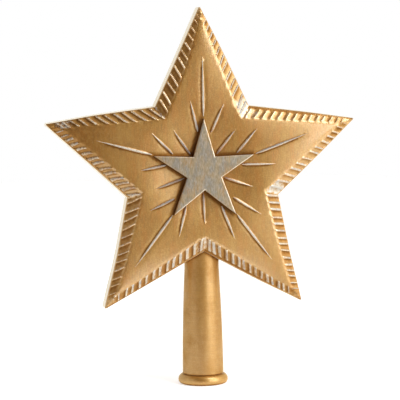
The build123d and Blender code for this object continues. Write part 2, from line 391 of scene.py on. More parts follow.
def star_front(x, y):
    """Height of the casting's front above its back, and its masks of silver with painted highlights,
    wash with painted shade and shadow, and greyer silver.
    """
    point, side, along, radius = fold(x, y)
    hand = np.where(side < 0, -1, 1)
    inset = edge_inset(side, along)
    run = (tip_radius - along) * cos(tip_half) + np.abs(side) * sin(tip_half)
    margin = np.maximum(margin_to_outline(side, along), 0)
    flat = face_height(point, side, along, radius)
    height = soft_min(edge_height + inset * bevel_rise, flat, crest_blend)
    crest = (flat - edge_height) / bevel_rise
    silver = np.zeros_like(height)
    grey = np.zeros_like(height)
    wash = outline_wash * smooth(*outline_wash_zone, margin)

    for (edge_point, edge_hand), ridge in ridges.items():
        on_border = (point == edge_point) & (hand == edge_hand) & (inset < crest + border_reach)
        here = np.nonzero(on_border)[0]
        spots = (inset[here], run[here], crest[here])
        cut = carved_edge(ridge, *spots)
        silver[here], grey[here], brown = painted_edge(ridge["edge"], *spots, cut)
        wash[here] = np.maximum(wash[here], brown)
        height[here] += cut.relief

    for ray in rays:
        relief, ray_rub, ray_dull, ray_wash = raised_ray(ray, x, y)
        height += relief
        silver = np.maximum(silver, ray_rub)
        grey = np.maximum(grey, ray_dull)
        wash = np.maximum(wash, ray_wash)

    seat = centre_inset(side, along) + seat_gap
    # Painted contact shade round the seat of the applied star.
    wash = np.maximum(wash, seat_wash * smooth(*seat_wash_zone, seat))
    # Painted shadow of the applied star, set off to the left and upwards.
    for left, above, depth in painted_shadow_pools:
        _, pool_side, pool_along, _ = fold(x + left * mm, y - above * mm)
        wash = np.maximum(wash, depth * smooth(*painted_shadow_zone, centre_inset(pool_side, pool_along)))
    # Painted shade over the left arm, the lower right arm and the right tip.
    for depth, rightward, upward in field_washes:
        wash = np.maximum(wash, depth * smooth(*rightward, x / mm) * smooth(*upward, y / mm))
    height = np.where(seat > 0, seat_height, height)
    drop = np.clip(arris_rounding - margin, 0, arris_rounding)
    height -= arris_rounding - np.sqrt(arris_rounding**2 - drop**2)
    return height, silver, wash, grey


def outline_loop(step):
    """The outline, counter-clockwise from the top: point, hand, distance along the edge, and place."""
    loop = []
    tangent = tip_rounding / tan(tip_half)
    middle = tip_radius - tip_rounding / sin(tip_half)
    runs = np.linspace(tangent, edge_length, int((edge_length - tangent) / step))
    arc = np.linspace(pi / 2 - tip_half, 0, tip_steps, endpoint=False)
    round_tip = [(middle + tip_rounding * cos(a), tip_rounding * sin(a)) for a in arc]
    for k in range(5):
        point = -k % 5
        turn = point * sector
        for hand in (1, -1):
            places = [(point, hand, run, *on_edge(point, hand, run, 0)) for run in runs[1:]]
            tips = [(point, hand, 0.0, *turned(hand * across, along, turn)) for along, across in round_tip]
            if hand == 1:
                loop += places[::-1][1:] + tips
            else:
                crown = (point, hand, 0.0, *turned(0.0, middle + tip_rounding, turn))
                loop += [crown] + tips[::-1] + places
    return loop


def seat_loop(gap, step):
    """The applied star's outline, wider by a gap, as a closed row of places."""
    tip = centre_star_radius + gap / sin(centre_half)
    notch = centre_star_notch + gap / sin(sector / 2 + centre_half)
    row = []
    for k in range(5):
        corners = [(tip, -k * sector), (notch, -(k + 0.5) * sector), (tip, -(k + 1) * sector)]
        for (r0, a0), (r1, a1) in zip(corners, corners[1:]):
            x0, y0, x1, y1 = r0 * sin(a0), r0 * cos(a0), r1 * sin(a1), r1 * cos(a1)
            for t in np.linspace(0, 1, max(2, int(hypot(x1 - x0, y1 - y0) / step)), endpoint=False):
                row.append((x0 + (x1 - x0) * t, y0 + (y1 - y0) * t))
    return row


def flat_mesh(outline, loops, extra, spacing):
    """Triangles that fill an outline from the middle out, with loops as edges and loose points between."""
    points = [tuple(p) for p in outline]
    edges = [(i, (i + 1) % len(points)) for i in range(len(points))]
    for loop in loops:
        start = len(points)
        points += [tuple(p) for p in loop]
        edges += [(start + i, start + (i + 1) % len(loop)) for i in range(len(loop))]
    taken = {(round(px / spacing), round(py / spacing)) for px, py in points}
    for px, py in extra:
        cell = (round(px / spacing), round(py / spacing))
        if cell not in taken:
            taken.add(cell)
            points.append((px, py))
    weld = 1e-7
    found = delaunay_2d_cdt([Vector(p) for p in points], edges, [], 0, weld, True)
    places = np.array([tuple(v) for v in found[0]])
    triangles = found[2]
    made_from = {source: index for index, sources in enumerate(found[3]) for source in sources}
    rim = [made_from[i] for i in range(len(outline))]
    stops = {frozenset((rim[i - 1], rim[i])) for i in range(len(rim))}
    beside = {}
    for index, face in enumerate(triangles):
        for i in range(3):
            beside.setdefault(frozenset((face[i - 1], face[i])), []).append(index)
    middles = np.array([places[list(face)].mean(axis=0) for face in triangles])
    queue = [int(np.hypot(middles[:, 0], middles[:, 1]).argmin())]
    reached = set(queue)
    while queue:
        face = triangles[queue.pop()]
        for i in range(3):
            side = frozenset((face[i - 1], face[i]))
            for other in beside[side] if side not in stops else ():
                if other not in reached:
                    reached.add(other)
                    queue.append(other)
    return places, [tuple(triangles[index]) for index in sorted(reached)], rim


# The front's mesh: rows along and beside each ridge and ray, rows along the edges, and a plain grid.
ridge_rows = (0, -0.35, 0.35, -0.7, 0.7, -1.05, 1.05, -1.7, 1.7)
ridge_row_insets = np.arange(0.5, 11.5, 0.7) * mm
edge_rows = (0.12, 0.3, 0.55, 0.9, 1.4)
ray_rows = (0, -0.5, 0.5, -1.0, 1.0, -1.6, 1.6)
ray_row_least_share = 0.25
outline_step = 0.9 * mm
grid_step = 1.7 * mm
grid_row_share = 0.866
seat_step = 1 * mm
front_spacing = 0.22 * mm
outline_clear = 0.1 * mm
seat_clear = 0.3 * mm
seat_inside = 1 * mm
seat_thinning = 9
seat_wall_shares = (1.06, 0.94)


def carved_points():
    """Loose points of the front, close together where the ridges, the rays and the edges are."""
    parts = []
    for (point, hand), ridge in ridges.items():
        inset = ridge_row_insets[:, None]
        lines = ridge_line(ridge, inset)
        for off in ridge_rows:
            run = lines + off * ridge["half"] * np.sqrt(1 + ridge["lean"] ** 2)
            keep = (run > inset / tan(tip_half)) & (run < edge_length + inset / tan(crotch_half))
            x, y = on_edge(point, hand, run, inset + 0 * run)
            parts.append(np.column_stack([x[keep], y[keep]]))
    for point, hand in ridges:
        for inset in edge_rows:
            start, end = inset * mm / tan(tip_half), edge_length + inset * mm / tan(crotch_half)
            runs = np.arange(start, end, outline_step)
            parts.append(np.column_stack(on_edge(point, hand, runs, inset * mm)))
    for ray in rays:
        start, heading, length = ray_course(ray)
        t = np.linspace(0, 1, int(length / outline_step))
        for off in ray_rows:
            shift = off * ray_half * np.maximum(ray_width(t), ray_row_least_share)
            x = start[0] + heading[0] * t * length + heading[1] * shift
            y = start[1] + heading[1] * t * length - heading[0] * shift
            parts.append(np.column_stack([x, y]))
    across = np.arange(-tip_radius, tip_radius, grid_step)
    x, y = np.meshgrid(across, across * grid_row_share)
    x = x + 0.5 * grid_step * (np.arange(len(across)) % 2)[:, None]
    parts.append(np.column_stack([x.ravel(), y.ravel()]))
    every = np.vstack(parts)
    _, side, along, _ = fold(every[:, 0], every[:, 1])
    seat = centre_inset(side, along)
    painted_shadow_under_star = (seat > seat_inside) & (np.arange(len(every)) % seat_thinning == 0)
    return every[(margin_to_outline(side, along) > outline_clear) & ((seat < -seat_clear) | painted_shadow_under_star)]


def standing(x, y, height):
    """Flat star positions and heights, put where the star stands."""
    return np.column_stack([x, -np.asarray(height), np.asarray(y) + star_height])


def new_piece(name, vertices, faces, sharp=40):
    mesh = bpy.data.meshes.new(name)
    mesh.from_pydata([tuple(v) for v in vertices], [], faces)
    mesh.update()
    mesh.shade_smooth()
    mesh.set_sharp_from_angle(angle=radians(sharp))
    piece = bpy.data.objects.new(name, mesh)
    bpy.context.scene.collection.objects.link(piece)
    return piece


def closed_piece(name, front, faces, rim, rings, end, sharp):
    """A piece whose front goes on through rings behind its rim to one closing place."""
    vertices = list(front)
    faces = list(faces)
    count = len(rim)
    before = list(rim)
    for ring in rings:
        start = len(vertices)
        vertices += list(ring)
        for i in range(count):
            j = (i + 1) % count
            faces.append((before[j], before[i], start + i, start + j))
        before = list(range(start, start + count))
    vertices.append(end)
    faces += [(before[(i + 1) % count], before[i], len(vertices) - 1) for i in range(count)]
    return new_piece(name, vertices, faces, sharp)


def give_masks(piece, **masks):
    """Keeps masks with a piece's vertices. Those past the end of a mask's row get none of it."""
    for name, values in masks.items():
        row = np.zeros(len(piece.data.vertices), np.float32)
        row[: len(values)] = values
        layer = piece.data.attributes.new(name, "FLOAT", "POINT")
        layer.data.foreach_set("value", row)


def lathe(name, profile, rounds):
    """A turned piece round the Z axis. Its profile of radius and height is closed or ends on the axis."""
    vertices, rings = [], []
    turns = np.arange(rounds) * 2 * pi / rounds
    for radius, z in profile:
        if radius == 0:
            rings.append([len(vertices)])
            vertices.append((0, 0, z))
        else:
            rings.append(list(range(len(vertices), len(vertices) + rounds)))
            vertices += [(radius * cos(a), radius * sin(a), z) for a in turns]
    faces = []
    for low, high in zip(rings, rings[1:]):
        for i in range(rounds):
            j = (i + 1) % rounds
            if len(low) == 1:
                faces.append((low[0], high[j], high[i]))
            elif len(high) == 1:
                faces.append((low[i], low[j], high[0]))
            else:
                faces.append((low[i], low[j], high[j], high[i]))
    return new_piece(name, vertices, faces)


def cut_away(piece, cutter):
    """Takes one piece's shape out of another and drops the cutter."""
    cut = piece.modifiers.new("cut", "BOOLEAN")
    cut.object = cutter
    cut.solver = "EXACT"
    bpy.context.view_layer.update()
    mesh = bpy.data.meshes.new_from_object(piece.evaluated_get(bpy.context.evaluated_depsgraph_get()))
    piece.modifiers.clear()
    piece.data = mesh
    bpy.data.objects.remove(cutter)


outline = outline_loop(outline_step)
front, front_faces, rim = flat_mesh(
    [place[3:] for place in outline],
    [seat_loop(share * seat_gap, seat_step) for share in seat_wall_shares],
    carved_points(),
    front_spacing,
)
front_height, front_silver_and_highlight, front_wash, front_grey = star_front(front[:, 0], front[:, 1])

# Behind the front: the drafted wall, the lip, the rebate for the back panel and the hollow, ring by ring.
wall_shares = (0.8, 0.6, 0.4, 0.2, 0.06)
wall_painted_sheen = 0.2
lip_inset = 0.35 * mm
lip_round = 0.25 * mm
lip_height = 0.2 * mm
rebate_inset = 1.8 * mm
rebate_depth = 3 * mm
hollow_inset = 4 * mm
hollow_floor = 12.8 * mm
shell_sharp = 35
rim_x, rim_y = front[rim, 0], front[rim, 1]
rim_height = front_height[rim]
outward = np.column_stack([np.roll(rim_y, -1) - np.roll(rim_y, 1), np.roll(rim_x, 1) - np.roll(rim_x, -1)])
outward /= np.linalg.norm(outward, axis=1)[:, None]


def moved_out(distance, height):
    """A ring at a distance outwards from the rim."""
    x, y = rim_x + outward[:, 0] * distance, rim_y + outward[:, 1] * distance
    return standing(*settled(x, y), height)


def moved_in(inset, height):
    """A ring at a distance inwards from the outline's edges, with sharp tips."""
    near, far = inset / tan(tip_half), edge_length + inset / tan(crotch_half)
    ring = [on_edge(p[0], p[1], near + p[2] / edge_length * (far - near), inset) for p in outline]
    x, y = np.array(ring).T
    return standing(*settled(x, y), np.full(len(ring), height))


wall = [moved_out(rim_height * (1 - share) * wall_draft, rim_height * share) for share in wall_shares]
lip_out = rim_height * wall_draft - lip_inset
wall.append(moved_out(lip_out + lip_round, lip_height + 0 * lip_out))
back = [moved_out(lip_out, 0 * lip_out), moved_in(rebate_inset, 0), moved_in(rebate_inset, rebate_depth)]
back += [moved_in(hollow_inset, rebate_depth), moved_in(hollow_inset, hollow_floor)]
front_shell = closed_piece(
    "front_shell_cast",
    standing(*settled(front[:, 0], front[:, 1]), front_height),
    front_faces,
    rim,
    wall + back,
    (0, -hollow_floor, star_height),
    shell_sharp,
)
# The wall gets a little pale rub, a painted sheen.
wall_sheen_rub = np.full(len(wall) * len(rim), wall_painted_sheen)
give_masks(front_shell, silver=np.concatenate([front_silver_and_highlight, wall_sheen_rub]), wash=front_wash, grey=front_grey)

# The cradle's hollow for the tube's neck.
neck_radius = 12.4 * mm
neck_room = neck_radius + 0.15 * mm
neck_cut_foot = 80 * mm
neck_cut_shoulder = 131 * mm
neck_cut_top = 136.2 * mm
neck_cut_top_radius = 7.5 * mm
neck_rounds = 96
neck_profile = [(0, neck_cut_foot), (neck_room, neck_cut_foot), (neck_room, neck_cut_shoulder)]
neck_profile += [(neck_cut_top_radius, neck_cut_top), (0, neck_cut_top)]
cut_away(front_shell, lathe("neck_cut", neck_profile, neck_rounds))
front_shell.data.set_sharp_from_angle(angle=radians(shell_sharp))


def node(tree, kind, **settings):
    made = tree.nodes.new("ShaderNode" + kind)
    for name, value in settings.items():
        setattr(made, name, value)
    return made


def feed(tree, socket, value):
    """Links a socket to another, or sets its own value."""
    if isinstance(value, bpy.types.NodeSocket):
        tree.links.new(value, socket)
    else:
        socket.default_value = value


def set_inputs(made, values):
    for name, value in values.items():
        made.inputs[name].default_value = value


def noise(tree, vector, scale, detail=2.0, roughness=0.5):
    made = node(tree, "TexNoise")
    feed(tree, made.inputs["Vector"], vector)
    set_inputs(made, {"Scale": scale, "Detail": detail, "Roughness": roughness})
    return made.outputs["Fac"]


def stretch(tree, vector, x, y, z):
    made = node(tree, "VectorMath", operation="MULTIPLY")
    feed(tree, made.inputs[0], vector)
    made.inputs[1].default_value = (x, y, z)
    return made.outputs["Vector"]


def ramp(tree, value, low, high, bottom=0.0, top=1.0, curve="SMOOTHSTEP"):
    """A value that goes from bottom to top while another goes from low to high."""
    made = node(tree, "MapRange", interpolation_type=curve)
    feed(tree, made.inputs["Value"], value)
    set_inputs(made, {"From Min": low, "From Max": high, "To Min": bottom, "To Max": top})
    return made.outputs["Result"]


def sums(tree, operation, a, b):
    made = node(tree, "Math", operation=operation)
    feed(tree, made.inputs[0], a)
    feed(tree, made.inputs[1], b)
    return made.outputs["Value"]


def blend(tree, factor, a, b):
    made = node(tree, "Mix", data_type="RGBA")
    feed(tree, made.inputs["Factor"], factor)
    feed(tree, made.inputs[6], a)
    feed(tree, made.inputs[7], b)
    return made.outputs[2]


# The paint on every cast and turned piece: mottled gold with upright clouds, fine brush streaks and flecks,
# then the brown wash, which also carries painted shade and shadow and is darkest where it pools, and the
# rubbed silver on top.
gold = (0.49, 0.178, 0.012, 1)
gold_deep = (0.43, 0.141, 0.008, 1)
gold_pale = (0.56, 0.28, 0.050, 1)
gold_warm = (0.53, 0.150, 0.004, 1)
fleck_pale = (0.64, 0.40, 0.140, 1)
umber = (0.200, 0.072, 0.016, 1)
deepest_wash_and_shade = (0.150, 0.048, 0.010, 1)
mottle_scale = 55.0
cloud_scale = 190.0
cloud_stretch = (1.5, 1.5, 0.3)
fleck_scale = 1150.0
patch_scale = 330.0
paint_inputs = {"Vector": ["Streaks"], "Float": ["Grain", "Gloss", "Warmth", "Wash And Shade", "Silver"]}
paint_inputs["Color"] = ["Silver Tint"]
paint_outputs = {"Color": ["Color"], "Float": ["Metallic", "Roughness", "Coat", "Height"]}
paint = bpy.data.node_groups.new("antique_paint", "ShaderNodeTree")
for way, sockets in (("INPUT", paint_inputs), ("OUTPUT", paint_outputs)):
    for kind, labels in sockets.items():
        for label in labels:
            paint.interface.new_socket(label, in_out=way, socket_type="NodeSocket" + kind)
given = paint.nodes.new("NodeGroupInput").outputs
put_out = paint.nodes.new("NodeGroupOutput").inputs
place = node(paint, "TexCoord").outputs["Object"]
streak = noise(paint, given["Streaks"], 1.0, 3.0, 0.6)
mottle = noise(paint, place, mottle_scale, 3.0, 0.55)
fleck = noise(paint, place, fleck_scale, 1.0)
cloud = noise(paint, stretch(paint, place, *cloud_stretch), cloud_scale, 2.0)
tone = blend(paint, ramp(paint, mottle, 0.35, 0.68), gold_deep, gold)
warm = sums(paint, "MULTIPLY", ramp(paint, cloud, 0.48, 0.64), given["Warmth"])
tone = blend(paint, warm, tone, gold_warm)
tone = blend(paint, ramp(paint, cloud, 0.5, 0.32, 0.0, 0.32), tone, gold_pale)
tone = blend(paint, ramp(paint, streak, 0.48, 0.72, 0.0, 0.62), tone, gold_pale)
tone = blend(paint, ramp(paint, streak, 0.5, 0.3, 0.0, 0.42), tone, umber)
flecks = sums(paint, "MULTIPLY", ramp(paint, fleck, 0.5, 0.7), given["Grain"])
tone = blend(paint, flecks, tone, fleck_pale)
pores = sums(paint, "MULTIPLY", ramp(paint, fleck, 0.5, 0.3), given["Grain"])
patches = noise(paint, place, patch_scale, 3.0, 0.6)
washed_and_shaded = sums(paint, "MULTIPLY", given["Wash And Shade"], ramp(paint, patches, 0.32, 0.6, 0.8, 1.0))
washed_and_shaded = sums(paint, "MAXIMUM", washed_and_shaded, pores)
tone = blend(paint, washed_and_shaded, tone, umber)
# The darkest tone falls mostly where painted shade and shadow are laid into the wash.
tone = blend(paint, ramp(paint, given["Wash And Shade"], 0.86, 1.0, 0.0, 0.7), tone, deepest_wash_and_shade)
tooth = ramp(paint, fleck, 0.3, 0.7, -0.05, 0.05)
tooth = sums(paint, "ADD", tooth, ramp(paint, streak, 0.3, 0.7, -0.15, 0.15))
rubbed = ramp(paint, sums(paint, "ADD", given["Silver"], tooth), 0.2, 0.85)
rubbed = sums(paint, "MULTIPLY", rubbed, 0.92)
feed(paint, put_out["Color"], blend(paint, rubbed, tone, given["Silver Tint"]))
glazed = sums(paint, "MULTIPLY", washed_and_shaded, sums(paint, "SUBTRACT", 1.0, rubbed))
feed(paint, put_out["Metallic"], ramp(paint, glazed, 0.15, 0.9, 0.3, 0.85))
rough = sums(paint, "ADD", ramp(paint, streak, 0.3, 0.7, 0.36, 0.41), sums(paint, "MULTIPLY", washed_and_shaded, 0.2))
rough = sums(paint, "ADD", rough, ramp(paint, given["Gloss"], 0.5, 0.0, 0.0, 0.07))
feed(paint, put_out["Roughness"], rough)
clear = ramp(paint, washed_and_shaded, 0.0, 0.75, 1.0, 0.0)
feed(paint, put_out["Coat"], sums(paint, "MULTIPLY", clear, given["Gloss"]))
raised = sums(paint, "MULTIPLY", fleck, sums(paint, "MULTIPLY", given["Grain"], 4.0))
feed(paint, put_out["Height"], sums(paint, "ADD", streak, raised))

ridge_silver = (0.87, 0.83, 0.765, 1)
grey_silver = (0.50, 0.565, 0.655, 1)
grey_scale = 300.0
painted_sheen_pale = (1.0, 0.965, 0.92, 1)
painted_sheen_zone = (0.68, 0.87)
gold_reflection = (1, 0.81, 0.32, 1)
bump_depth = 0.2 * mm


def mask(name):
    """A function that reads one of a piece's masks."""
    return lambda tree, where: node(tree, "Attribute", attribute_name=name).outputs["Fac"]


def ridge_rub(tree, where):
    """The silver on the ridges and rays, greyer in clouds and where the grey mask says so."""
    cloudy = ramp(tree, noise(tree, where, grey_scale, 2.0), 0.42, 0.6)
    return blend(tree, sums(tree, "MAXIMUM", cloudy, mask("grey")(tree, where)), ridge_silver, grey_silver)


def new_material(name):
    material = bpy.data.materials.new(name)
    material.use_nodes = True
    return material, material.node_tree, material.node_tree.nodes["Principled BSDF"]


def painted(name, streaks, wash, silver, tint=ridge_rub, *, grain, gloss, painted_sheen_share=1.0, warmth=0.68):
    """A material of the antique paint. The wash (which also holds painted shade), silver and tint are
    functions that build its masks and silver, and the sheen share is how much painted sheen it shows edge-on:
    a paler base colour that stands in for a reflection."""
    material, tree, shader = new_material(name)
    coat = node(tree, "Group", node_tree=paint)
    where = node(tree, "TexCoord").outputs["Object"]
    feed(tree, coat.inputs["Streaks"], stretch(tree, where, *streaks))
    feed(tree, coat.inputs["Wash And Shade"], wash(tree, where))
    feed(tree, coat.inputs["Silver"], silver(tree, where))
    feed(tree, coat.inputs["Silver Tint"], tint(tree, where))
    set_inputs(coat, {"Grain": grain, "Gloss": gloss, "Warmth": warmth})
    # Painted sheen: the base colour turns pale edge-on, standing in for a reflection.
    edgewise = node(tree, "LayerWeight")
    set_inputs(edgewise, {"Blend": 0.5})
    painted_sheen = ramp(tree, edgewise.outputs["Facing"], *painted_sheen_zone, 0.0, painted_sheen_share)
    feed(tree, shader.inputs["Base Color"], blend(tree, painted_sheen, coat.outputs["Color"], painted_sheen_pale))
    feed(tree, shader.inputs["Roughness"], coat.outputs["Roughness"])
    feed(tree, shader.inputs["Metallic"], coat.outputs["Metallic"])
    feed(tree, shader.inputs["Coat Weight"], coat.outputs["Coat"])
    set_inputs(shader, {"IOR": 2.4, "Specular IOR Level": 1.0, "Specular Tint": gold_reflection})
    set_inputs(shader, {"Coat Roughness": 0.24, "Coat IOR": 2.0})
    bumps = node(tree, "Bump")
    set_inputs(bumps, {"Strength": 0.1, "Distance": bump_depth})
    feed(tree, bumps.inputs["Height"], coat.outputs["Height"])
    feed(tree, shader.inputs["Normal"], bumps.outputs["Normal"])
    return material


def dress(piece, material):
    piece.data.materials.clear()
    piece.data.materials.append(material)


upright_streaks = (950, 950, 210)
cast_gold = painted("cast_gold", upright_streaks, mask("wash"), mask("silver"), grain=0.31, gloss=0.95)
dress(front_shell, cast_gold)
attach(front_shell, "root")
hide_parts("front_shell")

# Centre star: a small cast star glued into a shallow seat in the middle of the face. Silver is rubbed over
# its flat front with upright strokes, a pale painted highlight runs along its right arrises, and wash and
# painted shade darken its sides.
centre_face = 21.83 * mm
centre_arris = 0.5 * mm
centre_step = 0.8 * mm
centre_spacing = 0.1 * mm
centre_sharp = 50
arris_rows = (0.12, 0.28, 0.5, 0.9)
side_heights = (20.4 * mm, 18.4 * mm, 16.45 * mm)
centre_grid = np.arange(-38, 38, 1.3) * mm
centre_grid_clear = 1.2 * mm
grid_x, grid_y = (values.ravel() for values in np.meshgrid(centre_grid, centre_grid))
_, side, along, _ = fold(grid_x, grid_y)
loose = [place for inset in arris_rows for place in seat_loop(-inset * mm, centre_step)]
loose += list(np.column_stack([grid_x, grid_y])[centre_inset(side, along) > centre_grid_clear])
foot = seat_loop(0, centre_step)
top, top_faces, top_rim = flat_mesh(foot, [], loose, centre_spacing)
_, side, along, _ = fold(top[:, 0], top[:, 1])
fall = np.clip(centre_arris - np.clip(centre_inset(side, along), 0, None), 0, centre_arris)
top_height = centre_face - (centre_arris - np.sqrt(np.maximum(centre_arris**2 - fall**2, 0)))
foot_x, foot_y = np.array(foot).T
centre_star = closed_piece(
    "centre_star_cast",
    standing(top[:, 0], top[:, 1], top_height),
    top_faces,
    top_rim,
    [standing(foot_x, foot_y, np.full(len(foot), height)) for height in side_heights],
    (0, -side_heights[-1], star_height),
    centre_sharp,
)

flat_zone = (21.3 * mm, 21.8 * mm)
flat_inset_zone = (0.35 * mm, 1.0 * mm)
edge_rub_zone = (20.8 * mm, 21.4 * mm)
arris_zone = (20.8 * mm, 21.3 * mm)
arris_inset_zone = (0.7 * mm, 0.35 * mm)
arris_right_zone = (-0.3, 0.5)
flat_silver = 0.95
edge_silver = 0.85
side_shade_depth = 0.85
side_wash_zone = (21.2 * mm, 19.5 * mm)
places = np.array([v.co[:] for v in centre_star.data.vertices])
point, side, along, _ = fold(places[:, 0], places[:, 2] - star_height)
height = -places[:, 1]
deep = centre_inset(side, along)
turn = point * sector
rightward = np.sign(side) * cos(centre_half) * np.cos(turn) + sin(centre_half) * np.sin(turn)
flat_rub = flat_silver * smooth(*flat_zone, height) * smooth(*flat_inset_zone, deep)
edge_rub = edge_silver * smooth(*edge_rub_zone, height)
# Painted highlight along the arrises that face the light.
arris = smooth(*arris_inset_zone, deep) * smooth(*arris_zone, height) * smooth(*arris_right_zone, rightward)
# Wash and painted shade on the applied star's sides, deepest near the face.
side_wash = side_shade_depth * smooth(*side_wash_zone, height)
give_masks(centre_star, silver=np.maximum(flat_rub, edge_rub), arris=arris, wash=side_wash)

cool_silver = (0.195, 0.222, 0.285, 1)
warm_silver = (0.340, 0.268, 0.228, 1)
stroke_pale = (0.48, 0.44, 0.43, 1)
stroke_dark = (0.13, 0.125, 0.12, 1)
rub_strokes = (1100, 1100, 260)
rub_patch_scale = 90.0
tint_strokes = (1450, 1450, 380)
tint_clouds = (190, 190, 110)


def upright_rub(tree, where):
    """How much silver the centre star holds: less in patches and between upright strokes."""
    strokes = noise(tree, stretch(tree, where, *rub_strokes), 1.0, 3.0, 0.6)
    patch = noise(tree, where, rub_patch_scale, 2.0)
    held = ramp(tree, strokes, 0.3, 0.7, -0.12, 0.1)
    held = sums(tree, "ADD", held, ramp(tree, patch, 0.3, 0.7, -0.2, 0.12))
    return sums(tree, "MULTIPLY", mask("silver")(tree, where), sums(tree, "ADD", held, 0.88))


def dull_rub(tree, where):
    """The centre star's duller silver: cool and warm clouds under pale and dark strokes, with a pale painted
    highlight along its right arrises.
    """
    strokes = noise(tree, stretch(tree, where, *tint_strokes), 1.0, 3.0, 0.65)
    clouds = noise(tree, stretch(tree, where, *tint_clouds), 1.0, 2.0)
    dull = blend(tree, ramp(tree, clouds, 0.4, 0.6), cool_silver, warm_silver)
    dull = blend(tree, ramp(tree, strokes, 0.48, 0.68, 0.0, 0.75), dull, stroke_pale)
    dull = blend(tree, ramp(tree, strokes, 0.52, 0.32, 0.0, 0.75), dull, stroke_dark)
    return blend(tree, mask("arris")(tree, where), dull, ridge_silver)


long_streaks = (900, 900, 70)
rubbed_silver = painted(
    "rubbed_silver", long_streaks, mask("wash"), upright_rub, dull_rub, grain=0.4, gloss=0.4, painted_sheen_share=0.0
)
dress(centre_star, rubbed_silver)
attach(centre_star, "root")
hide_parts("centre_star")

# Back panel: a flat star of cast resin glued into the rebate, slotted for the neck, sprayed the same gold.
# It keeps its own shape, with its edges broken a little.
back_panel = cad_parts["back_panel"]
broken = back_panel.modifiers.new("edges", "BEVEL")
broken.width = 0.3 * mm
broken.segments = 2
broken.limit_method = "ANGLE"
panel_streaks = (900, 900, 110)
panel_wash_scale = 45.0


def panel_wash(tree, where):
    return ramp(tree, noise(tree, where, panel_wash_scale, 4.0, 0.6), 0.5, 0.8, 0.05, 0.45)


def no_silver(tree, where):
    return 0.0


dress(back_panel, painted("panel_gold", panel_streaks, panel_wash, no_silver, grain=0.25, gloss=0.4))

# Socket tube: turned resin with a spigot below, a long swelling taper, a plain round neck that goes up behind
# the face, and a blind bore for the tree's leader. Sprayed gold, with faint rings left by the brush.
bore_radius = 10 * mm
bore_depth = 105 * mm
bore_break = 0.4 * mm
spigot_radius = 13.6 * mm
spigot_height = 7.3 * mm
spigot_break = 0.2 * mm
tube_radius = 14.8 * mm
taper_foot = 8.2 * mm
taper_length = 75.8 * mm
taper_curve = 1.75
taper_steps = 30
neck_rows = (90 * mm, 100 * mm, 115 * mm, 130.5 * mm)
neck_end = [(neck_radius - 0.2 * mm, 131.1 * mm), (7.8 * mm, 135.6 * mm), (7.2 * mm, 136 * mm), (0, 136 * mm)]
shoulder = [(14.5 * mm, spigot_height), (14.75 * mm, 7.6 * mm)]
turned_rounds = 128
rise = np.linspace(0, 1, taper_steps)
swell = tube_radius - (tube_radius - neck_radius) * rise**taper_curve
profile = [(0, bore_depth), (bore_radius, bore_depth), (bore_radius, bore_break)]
profile += [(bore_radius + bore_break, 0), (spigot_radius - spigot_break, 0), (spigot_radius, spigot_break)]
profile += [(spigot_radius, spigot_height)] + shoulder
profile += [(radius, taper_foot + taper_length * t) for radius, t in zip(swell, rise)]
profile += [(neck_radius, z) for z in neck_rows] + neck_end
socket_tube = lathe("socket_tube_turned", profile, turned_rounds)

pin_hole_radius = 2.1 * mm
pin_hole_half = 20 * mm
pin_hole_rounds = 32
pin_place = (0, -7 * mm, 123 * mm)
pin_profile = [(0, -pin_hole_half), (pin_hole_radius, -pin_hole_half)]
pin_profile += [(pin_hole_radius, pin_hole_half), (0, pin_hole_half)]
pin_cut = lathe("pin_cut", pin_profile, pin_hole_rounds)
pin_cut.data.transform(Matrix.Translation(pin_place) @ Matrix.Rotation(pi / 2, 4, "Y"))
cut_away(socket_tube, pin_cut)

star_foot = star_height - crotch_radius
star_foot_fall = tan(pi / 2 - sector / 2 - tip_half)
star_foot_shadow_zone = (star_foot - 5 * mm, star_foot - 0.3 * mm)
front_half_zone = (3 * mm, -3 * mm)
ring_seam_zone = (11 * mm, 7.6 * mm)
tube_patch_scale = 60.0
turned_streaks = (60, 60, 3000)


def axes_of(tree, vector):
    made = node(tree, "SeparateXYZ")
    feed(tree, made.inputs[0], vector)
    return made.outputs


def tube_wash(tree, where):
    """Wash in patches and above the mouth ring, and painted shadow in front where the tube goes under the
    star's foot.
    """
    axes = axes_of(tree, where)
    near_ring = ramp(tree, axes["Z"], *ring_seam_zone, 0.0, 0.6)
    fall = sums(tree, "MULTIPLY", sums(tree, "ABSOLUTE", axes["X"], 0.0), star_foot_fall)
    # Painted shadow of the star on the tube's front, below the star's foot.
    painted_shadow_under_star = ramp(tree, sums(tree, "ADD", axes["Z"], fall), *star_foot_shadow_zone)
    painted_shadow_under_star = sums(tree, "MULTIPLY", painted_shadow_under_star, ramp(tree, axes["Y"], *front_half_zone))
    painted_shadow_under_star = sums(tree, "MULTIPLY", painted_shadow_under_star, 0.95)
    patchy = ramp(tree, noise(tree, where, tube_patch_scale, 3.0), 0.35, 0.85, 0.4, 0.62)
    return sums(tree, "MAXIMUM", painted_shadow_under_star, sums(tree, "MAXIMUM", near_ring, patchy))


turned_gold = painted(
    "turned_gold", turned_streaks, tube_wash, no_silver, grain=0.26, gloss=0.65, painted_sheen_share=0.35, warmth=0.0
)
dress(socket_tube, turned_gold)
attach(socket_tube, "root")
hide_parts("socket_tube")

